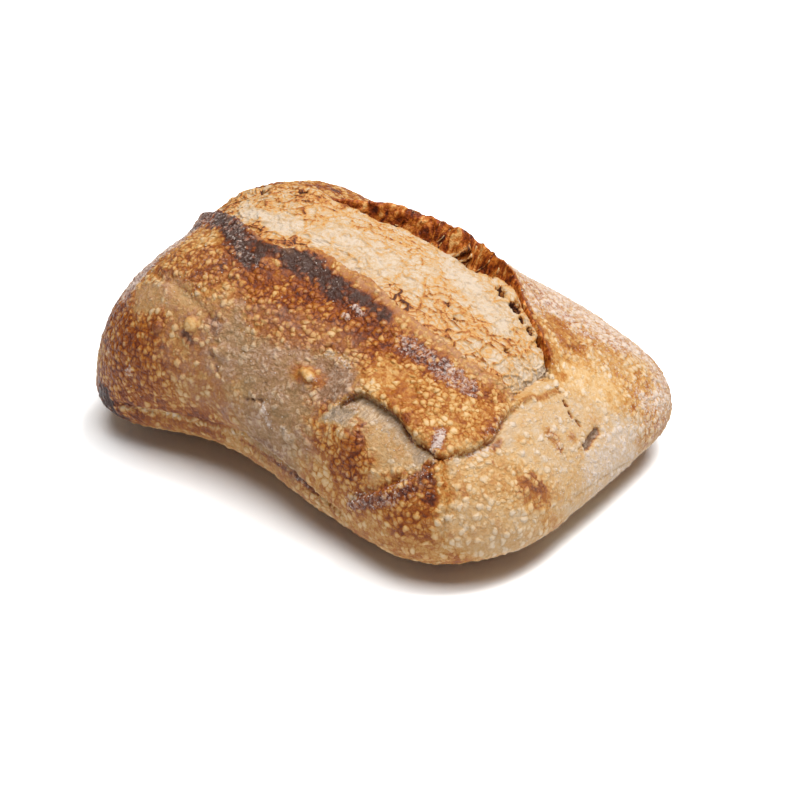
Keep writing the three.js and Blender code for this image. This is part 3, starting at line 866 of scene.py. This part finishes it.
# The crumb
CRUMB_PAINT = [
    ([(232, 210), (262, 194), (300, 198), (350, 204), (376, 212)], 3.2, dict(gold=0.78)),
    ([(300, 215), (330, 212), (370, 222)], 2.5, dict(gold=0.6)),
    ([(248, 212), (262, 222), (298, 226)], 2.2, dict(gold=0.05)),
    ([(305, 210), (306, 232)], 0.5, dict(gold=0.9)),
    ([(318, 238), (345, 225)], 1.6, dict(gold=0.1)),
    ([(345, 250), (385, 265)], 4, dict(gold=0.25)),
    ([(372, 228), (395, 240), (420, 262)], 2.5, dict(gold=0.65)),
    ([(400, 300), (415, 290)], 3, dict(gold=0.15)),
    ([(430, 315), (480, 350), (530, 375)], 7, dict(gold=0.7)),
    ([(445, 262), (480, 300), (505, 330)], 2.0, dict(gold=0.05)),
    ([(505, 375), (545, 380)], 4, dict(gold=0.3)),
    ([(400, 308), (450, 345), (500, 382)], 1.6, dict(gold=0.75)),
    ([(255, 226), (268, 240), (285, 246), (300, 244)], 1.8, dict(gold=1.0)),
    ([(390, 292), (403, 303), (408, 312)], 1.8, dict(gold=1.3)),
]


def crumb_place(along, s):
    """The cube's points that stand at a station along the roll, a share s of the way across the cut."""
    front, back = front_edge(along), back_edge(along)
    y = front + s * (back - front)
    over = abs(along) > 1
    x = np.where(over, np.sign(along), along)
    z = np.where(over, 2 - abs(along), 1.0)
    return np.stack([x, y, z], axis=1)


def bubbly(nodes, where, bubble_size):
    """The crumb's bubble walls, its finer ones, and its fibres, all from about 0 to 1."""
    bent = nodes.stretched(nodes.bent(where, 4, 2.5), CRUMB_GRAIN, (0.8, 1, 1))
    wall = nodes.cells(bent, bubble_size)[0]
    fine_wall = nodes.cells(bent, nodes.times(bubble_size, 0.42))[0]
    along = nodes.stretched(nodes.bent(where, 4, 2.5), CRUMB_GRAIN, (0.45, 1.2, 1))
    fibres = nodes.noise(along, 1.4, 4.0, 0.65)
    return nodes.between(wall, 0.0, 0.13, 1.0, 0.0), nodes.between(fine_wall, 0.0, 0.18, 1.0, 0.0), fibres


def crumb_build(nodes, given):
    where = nodes.place()
    top = nodes.attribute("top")
    walls, fine_walls, fibres = bubbly(nodes, where, given["Bubble Size"])
    lumps = nodes.uneven(where, 7, 2.0, 0.5)
    rough = nodes.uneven(where, 1.1, 3.0, 0.7)
    bubbles = nodes.plus(walls, nodes.times(fine_walls, 0.4), nodes.times(rough, 1.5))
    height = nodes.plus(nodes.times(bubbles, given["Wall Height"]),
                        nodes.times(nodes.less(fibres, 0.5), given["Fibre Height"]),
                        nodes.times(lumps, given["Lump Height"]))
    return nodes.finish(nodes.lift(given["Geometry"], nodes.times(height, top)), given["Material"])


# How golden the crumb is along its sides, at its two ends and in its narrow tail, and how dark the painted
# shade in its holes is
EDGE_GOLD, END_GOLD, TAIL_GOLD, HOLE_SHADE = 0.85, 1.2, 0.9, 2.4
CRUMB_GRAIN = -15              # degrees that its fibres are turned from the roll's length
BUBBLE_SIZE = 3.3 * MM
CRUMB_SHAPE = {"Bubble Size": BUBBLE_SIZE, "Wall Height": 0.32 * MM, "Fibre Height": 0.5 * MM,
               "Lump Height": 1.6 * MM}


def make_crumb(material):
    n_along, n_across = CRUMB_CELLS
    across = np.linspace(0.004, 1, n_across)
    along, s = np.meshgrid(np.linspace(CRUMB_FROM, CRUMB_TO, n_along), across, indexing="ij")
    along, s = along.ravel(), s.ravel()
    gaping = how_gaping(along)
    end = ramp((along - 0.22) / 0.25)
    back = (CRUMB_BACK + (CRUMB_BACK_IN_TRENCH - CRUMB_BACK) * gaping
            + (CRUMB_BACK_AT_END - CRUMB_BACK_IN_TRENCH) * end + 0.012 * ragged(along, 8, 2))
    across = (back_edge(along) - front_edge(along)) * WIDTH / 2
    from_tail = (along - CRUMB_FROM) * LENGTH / 2
    narrow = ramp((from_tail - CRUMB_TAIL[0]) / (CRUMB_TAIL[1] - CRUMB_TAIL[0]))
    s = s * back * narrow + 0.5 * (1 - narrow)
    cube = crumb_place(along, s)
    plain = loaf_point(cube)
    faces = grid_faces(n_along, n_across)
    normals = normals_of(plain, faces)
    into, from_back = s * across, (back - s) * across
    from_sides = np.minimum(s - 0.5 * (1 - narrow), 0.5 * (1 - narrow) + back * narrow - s) * across
    from_ends = np.minimum(along - CRUMB_FROM, CRUMB_TO - along) * LENGTH / 2
    settled = 1 - 0.9 * ramp((along - 0.72) / 0.28)
    crest = CRUMB_RISE * np.sin(pi * np.minimum(1, s / CRUMB_WIDTH)) * settled
    meets = (back_edge_rise(along) * np.maximum(1 - gaping, 0.9 * end * settled)
             + 0.9 * (1 - gaping)) * ramp((s - 0.45) / 0.5)
    brink = (3.6 * gaping - 3.0 * end) * (1 - ramp(from_back / 2.4))
    top = crest + meets - CRUMB_EDGE * hump(into / 1.2) - brink - 1.0 * (1 - ramp(from_ends / 4))
    top = top * how_open(along) - CRUMB_SINK * (1 - how_open(along))
    bottom = np.minimum(-BED_DEPTH, top - CRUMB_THICKNESS)
    shown = plain + normals * top[:, None]
    open_here = np.zeros(len(shown))
    for pixels, reach, deep in HOLES:
        far = beside(shown, pixels, flat=True) + 0.2 * reach * wobble(shown, 0.7)
        open_here = np.maximum(open_here, deep * (1 - ramp((far / reach - 0.4) / 0.6)))
    top = top - open_here
    bottom = np.minimum(bottom, top - CRUMB_THICKNESS)
    shown = plain + normals * top[:, None]
    hidden = plain + normals * bottom[:, None]
    looks = paint(shown, dict(gold=0.42), CRUMB_PAINT, flat=True)
    depth = 1 - ramp(np.minimum(into, from_back / (0.4 + gaping)) / 1.5)
    toward(looks, "gold", EDGE_GOLD, 0.7 * depth)
    toward(looks, "gold", END_GOLD, 1 - ramp((from_ends - 0.8) / 1.8))
    toward(looks, "gold", TAIL_GOLD, 0.8 * (1 - ramp((from_tail - 12) / 16)))
    # Painted shade in the open bubbles, darker the deeper they are
    toward(looks, "gold", HOLE_SHADE, ramp(open_here / 1.5))
    ids = np.arange(n_along * n_across).reshape(n_along, n_across)
    rim = np.concatenate([ids[:, 0], ids[-1, 1:], ids[-2::-1, -1], ids[0, -2:0:-1]])
    after = np.roll(rim, -1)
    total = len(shown)
    border = np.stack([rim, rim + total, after + total, after], axis=1)
    points = np.concatenate([shown, hidden])
    all_faces = np.concatenate([faces, faces[:, ::-1] + total, border[:, ::-1]])
    edge = np.minimum(from_sides, from_ends)
    looks["top"] = ramp(edge / 1.5)
    looks = {name: np.concatenate([values, values * (name != "top")]) for name, values in looks.items()}
    piece = new_mesh("crumb", points, all_faces, looks)
    inputs = {**CRUMB_SHAPE, "Material": material}
    return made_real(piece, shape_tree("torn crumb", inputs, crumb_build), inputs, CRUMB_TRIANGLES)


# Threads of crumb that still cross the trench: pixels of their ends, how wide they are in mm, and how golden
STRANDS = [
    ((398, 222), (410, 212), 0.4, 1.0), ((404, 229), (418, 222), 0.5, 0.8),
    ((409, 231), (413, 216), 0.35, 1.0), ((420, 237), (436, 226), 0.5, 1.1),
    ((428, 241), (441, 236), 0.4, 0.9), ((436, 246), (447, 232), 0.6, 1.2),
    ((446, 254), (466, 247), 2.2, 1.0), ((452, 259), (468, 256), 1.2, 0.8),
    ((462, 266), (474, 250), 0.5, 1.1), ((470, 271), (486, 262), 0.6, 1.0),
    ((477, 277), (483, 258), 0.4, 1.2), ((483, 283), (496, 271), 0.5, 1.0),
    ((490, 291), (497, 274), 0.35, 1.2), ((495, 297), (508, 287), 0.5, 1.0),
]
STRAND_SIDES, STRAND_STEPS = 8, 10


def make_strands(material):
    around, steps = STRAND_SIDES, STRAND_STEPS
    turn = np.arange(around) * 2 * pi / around
    points, gold, faces = [], [], []
    for start, end, width, tone in STRANDS:
        a, b = on_roll(start), on_roll(end)
        run = b - a
        flat = np.cross(run, (0, 0, 1))
        flat = flat / np.linalg.norm(flat)
        up = np.cross(flat, run) / np.linalg.norm(run)
        first = len(points)
        for t in np.arange(steps + 1) / steps:
            sag = 1.2 * sin(pi * t) + 0.2 * sin(9 * t + first)
            middle = a + run * (1.5 * t - 0.25) - np.array([0, 0, sag])
            size = width / 2 * (1 + 0.8 * (2 * t - 1) ** 2)
            points.extend(middle + size * (np.outer(np.cos(turn), flat) + np.outer(0.4 * np.sin(turn), up)))
        gold += [tone] * (len(points) - first)
        for i in range(steps):
            for j in range(around):
                here, after = first + i * around + j, first + i * around + (j + 1) % around
                faces.append((here, here + around, after + around, after))
        faces.append(tuple(range(first, first + around)))
        faces.append(tuple(range(first + (steps + 1) * around - 1, first + steps * around - 1, -1)))
    strands = new_mesh("strands", np.array(points), faces, dict(gold=np.array(gold)))
    strands.data.materials.append(material)
    return strands


# Flour that stayed on the crust
def flour_build(nodes, given):
    flour = nodes.attribute("flour")
    height = nodes.height_of(nodes.place())
    off_floor = nodes.add("FunctionNodeCompare", {0: height, 1: 2 * FLOUR_SHAPE["Grain Size"]},
                          data_type="FLOAT", operation="GREATER_THAN").outputs[0]
    spread = nodes.add("GeometryNodeDistributePointsOnFaces",
                       {"Mesh": given["Geometry"], "Selection": off_floor,
                        "Density": nodes.times(flour, flour, given["Grains"]), "Seed": 5}).outputs
    grain = nodes.add("GeometryNodeMeshIcoSphere",
                      {"Radius": given["Grain Size"], "Subdivisions": 1}).outputs[0]
    size = nodes.add("FunctionNodeRandomValue", {2: 0.5, 3: 1.5, "Seed": 7}, data_type="FLOAT").outputs[1]
    grains = nodes.add("GeometryNodeInstanceOnPoints",
                       {"Points": spread["Points"], "Instance": grain, "Rotation": spread["Rotation"],
                        "Scale": size}).outputs[0]
    return nodes.finish(grains, given["Material"])


FLOUR_SHAPE = {"Grains": 2.2 / MM ** 2, "Grain Size": 0.12 * MM}


def make_flour(crust, material):
    piece = new_object("flour", crust.data.copy())
    inputs = {**FLOUR_SHAPE, "Material": material}
    return made_real(piece, shape_tree("scattered flour", inputs, flour_build), inputs)


# Finishes
BRIGHTNESS = 1.7               # how much brighter than its tone the roll would show under this light


def linear(colour):
    """A colour as seen on screen, 0 to 255, as the renderer's linear one."""
    part = np.array(colour) / 255
    return (*(np.where(part > 0.04045, ((part + 0.055) / 1.055) ** 2.4, part / 12.92) / BRIGHTNESS), 1.0)


# Places along each scale and the colours there, as seen on screen, 0 to 255
CRUST_TONES = [
    (0.0, (242, 222, 198)), (0.2, (234, 204, 166)), (0.36, (224, 181, 122)), (0.5, (206, 149, 78)),
    (0.62, (174, 100, 28)), (0.76, (136, 62, 12)), (0.88, (90, 36, 14)), (1.0, (60, 27, 18)),
]
DULL_TONES = [(0.0, (92, 68, 48)), (0.5, (158, 127, 99)), (1.0, (220, 196, 172))]
FLOUR = (234, 216, 206)
GREY_GRAIN, WHITE_GRAIN = (216, 196, 182), (236, 220, 208)
PALE_TOP_HIGHLIGHT = (236, 200, 150)
RIM = (184, 130, 92)
CRUMB_TONES = [(0.0, (216, 194, 169)), (0.25, (207, 175, 136)), (0.5, (213, 158, 86)), (0.75, (180, 102, 36)),
               (1.0, (86, 40, 14))]
TORN_TONES = [(0.0, (78, 26, 4)), (0.35, (154, 66, 12)), (0.65, (214, 122, 42)), (1.0, (244, 186, 114))]


def tones(nodes, value, stops):
    node = nodes.add("ShaderNodeValToRGB", {0: value})
    elements = node.color_ramp.elements
    while len(elements) < len(stops):
        elements.new(0.5)
    for element, (place, colour) in zip(elements, stops):
        element.position = place
        element.color = linear(colour)
    return node.outputs[0]


def new_material(name, values):
    material = bpy.data.materials.new(name)
    material.use_nodes = True
    nodes = Nodes(material.node_tree)
    skin = material.node_tree.nodes["Principled BSDF"]
    for label, value in values.items():
        nodes.feed(skin.inputs[label], value)
    return material, nodes, skin


def crust_finish():
    material, nodes, skin = new_material("crust", {"Specular IOR Level": 0.17})
    where = nodes.place()
    bake, dull, flour = nodes.attribute("bake"), nodes.attribute("dull"), nodes.attribute("flour")
    blistered, torn, rim = nodes.attribute("blistered"), nodes.attribute("torn"), nodes.attribute("rim")
    pulled = nodes.attribute("pulled")
    bent = nodes.bent(where, 3, 1.2)
    big, chance = nodes.blisters(bent, BLISTER_SIZE, blistered)
    small, small_chance = nodes.blisters(bent, BLISTER_SIZE * 0.6, blistered)
    dome = nodes.math("MAXIMUM", big, nodes.times(small, 0.75))
    patches = nodes.uneven(where, 7, 3.0, 0.6)
    mottle = nodes.uneven(where, 1.8, 4.0, 0.65)
    speckle = nodes.uneven(where, 0.6, 3.0, 0.6)

    # The browned skin, with painted highlights on its blister tops and painted shade in the gaps between
    # blisters
    level = nodes.plus(bake, nodes.times(patches, 0.45), nodes.times(mottle, 0.5), nodes.times(speckle, 0.35),
                       nodes.times(dome, nodes.plus(nodes.times(chance, -0.22), -0.03)),
                       nodes.times(blistered, nodes.less(1.0, dome), 0.1), 0.02)
    pale_highlight = nodes.times(nodes.between(dome, 0.72, 1.0), nodes.between(small_chance, 0.4, 0.95), 0.4)
    crust = nodes.mix_colour(pale_highlight, tones(nodes, level, CRUST_TONES), linear(PALE_TOP_HIGHLIGHT))

    # Dull, wrinkled skin, and lines where it was pulled
    wrinkles = nodes.uneven(nodes.stretched(bent, 0, (0.9, 1, 1.3)), 0.9, 4.0, 0.65)
    lines = nodes.uneven(nodes.stretched(bent, 12, (1.6, 0.3, 0.4)), 0.8, 3.0, 0.6)
    wrinkled = nodes.plus(0.5, nodes.times(mottle, 1.6), nodes.times(wrinkles, 1.5),
                          nodes.times(patches, 0.9), nodes.times(dome, 0.3), nodes.times(lines, pulled, 2.0))
    dulled = nodes.mix_colour(nodes.times(dull, 0.75), crust, tones(nodes, wrinkled, DULL_TONES))
    on_rim = nodes.times(rim, nodes.between(nodes.plus(speckle, mottle), -0.2, 0.15))
    rimmed = nodes.mix_colour(on_rim, dulled, linear(RIM))

    # The torn walls
    strands = nodes.uneven(nodes.stretched(nodes.bent(where, 3, 3), 20, (1.3, 0.3, 0.4)), 1.3, 3.0, 0.6)
    pockets = nodes.uneven(where, 4, 3.0, 0.6)
    torn_level = nodes.plus(0.46, nodes.times(mottle, 0.7), nodes.times(strands, 2.2),
                            nodes.times(pockets, 1.8))
    opened = nodes.mix_colour(nodes.between(torn, 0.3, 0.7), rimmed, tones(nodes, torn_level, TORN_TONES))

    # Flour
    amount = nodes.plus(flour, nodes.times(nodes.uneven(where, 0.7, 4.0, 0.7), 2.4),
                        nodes.times(dome, flour, 0.5))
    cover = nodes.times(nodes.between(amount, 0.3, 1.1), nodes.between(flour, 0.02, 0.2),
                        nodes.less(1.0, torn))
    floury = nodes.mix_colour(nodes.times(cover, 0.8), opened, linear(FLOUR))
    nodes.feed(skin.inputs["Base Color"], floury)
    bare = nodes.less(nodes.between(level, 0.2, 0.8, 0.6, 0.42), nodes.times(dome, 0.12))
    nodes.feed(skin.inputs["Roughness"], nodes.mix(cover, bare, 0.9))
    height = nodes.plus(nodes.times(dome, 0.8), nodes.times(speckle, 1.2), nodes.times(mottle, 1.6),
                        nodes.times(wrinkles, nodes.plus(nodes.times(dull, 1.6), 0.4)),
                        nodes.times(cover, 0.4), nodes.times(strands, torn, 2.0),
                        nodes.times(lines, pulled, 2.5))
    nodes.bump(skin, height, 0.7, 0.35)
    return material


def crumb_finish():
    material, nodes, skin = new_material("crumb", {
        "Roughness": 0.65, "Specular IOR Level": 0.3, "Subsurface Weight": 0.12,
        "Subsurface Radius": (2 * MM, 1.2 * MM, 0.6 * MM)})
    where = nodes.place()
    gold = nodes.attribute("gold")
    walls, fine_walls, fibres = bubbly(nodes, where, BUBBLE_SIZE)
    patches = nodes.uneven(where, 5, 3.0, 0.6)
    fine = nodes.uneven(where, 0.6, 4.0, 0.7)
    # Darker where the crumb's relief noise is low: painted shade in its hollows
    low = nodes.less(0.5, nodes.noise(where, 1.1, 3.0, 0.7))
    lines = nodes.plus(nodes.times(walls, 0.5), nodes.times(fine_walls, 0.35))
    level = nodes.plus(nodes.times(gold, nodes.plus(0.27, nodes.times(lines, 0.8))), nodes.times(lines, 0.12),
                       0.02, patches, nodes.times(nodes.less(fibres, 0.5), 0.8), nodes.times(fine, 0.7),
                       nodes.times(low, 0.8))
    nodes.feed(skin.inputs["Base Color"], tones(nodes, level, CRUMB_TONES))
    height = nodes.plus(nodes.times(walls, 0.8), nodes.times(fine_walls, 0.7), nodes.times(fine, 1.4),
                        nodes.times(fibres, 0.8))
    nodes.bump(skin, height, 0.45, 0.25)
    return material


def flour_finish():
    material, nodes, skin = new_material("flour", {"Roughness": 0.95, "Specular IOR Level": 0.1})
    where = nodes.add("ShaderNodeTexCoord").outputs["Object"]
    tone = nodes.between(nodes.noise(where, 2, 2.0), 0.3, 0.7)
    nodes.feed(skin.inputs["Base Color"], nodes.mix_colour(tone, linear(GREY_GRAIN), linear(WHITE_GRAIN)))
    return material


# The studio, in metres and watts
FLOOR_SIZE = 3.0
FLOOR_TONES = (0.94, 0.96)
AIM = (0, 0, 0.02)
WINDOW, WINDOW_SIZE, WINDOW_POWER = (0.24, 0.22, 0.89), 0.4, 10.2
OVERHEAD, OVERHEAD_SIZE, OVERHEAD_POWER = (0.12, -0.18, 0.94), 0.6, 10.2
ROOM_LIGHT = 0.15


def make_floor():
    size = FLOOR_SIZE / 2
    corners = [(-size, -size, 0), (size, -size, 0), (size, size, 0), (-size, size, 0)]
    mesh = bpy.data.meshes.new("floor")
    mesh.from_pydata(corners, [], [(0, 1, 2, 3)])
    floor = new_object("floor", mesh)
    material, nodes, surface = new_material("paper", {"Roughness": 0.9, "Specular IOR Level": 0.1})
    where = nodes.add("ShaderNodeTexCoord").outputs["Object"]
    tone = nodes.between(nodes.noise(where, 8, 3.0), 0.2, 0.8)
    shade, light = ((value, value, value, 1) for value in FLOOR_TONES)
    nodes.feed(surface.inputs["Base Color"], nodes.mix_colour(tone, shade, light))
    mesh.materials.append(material)


def make_light(name, place, size, power):
    light = new_object(name, bpy.data.lights.new(name, "AREA"))
    light.data.size = size
    light.data.energy = power
    light.location = place
    light.rotation_euler = (Vector(AIM) - Vector(place)).to_track_quat("-Z", "Y").to_euler()


def make_studio():
    make_floor()
    make_light("window", WINDOW, WINDOW_SIZE, WINDOW_POWER)
    make_light("overhead", OVERHEAD, OVERHEAD_SIZE, OVERHEAD_POWER)
    world = bpy.data.worlds.new("room")
    world.use_nodes = True
    sky = world.node_tree.nodes["Background"]
    sky.inputs["Color"].default_value = (1, 1, 1, 1)
    sky.inputs["Strength"].default_value = ROOM_LIGHT
    bpy.context.scene.world = world
    bpy.context.scene.view_settings.view_transform = "Standard"


make_camera()
make_studio()
crust = make_crust(crust_finish())
crumb_material = crumb_finish()
crumb = make_crumb(crumb_material)
strands = make_strands(crumb_material)
flour = make_flour(crust, flour_finish())

for piece, slot in ((crust, "crust"), (crumb, "crumb"), (strands, "crumb"), (flour, "flour")):
    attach(piece, "root")
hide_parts("roll")
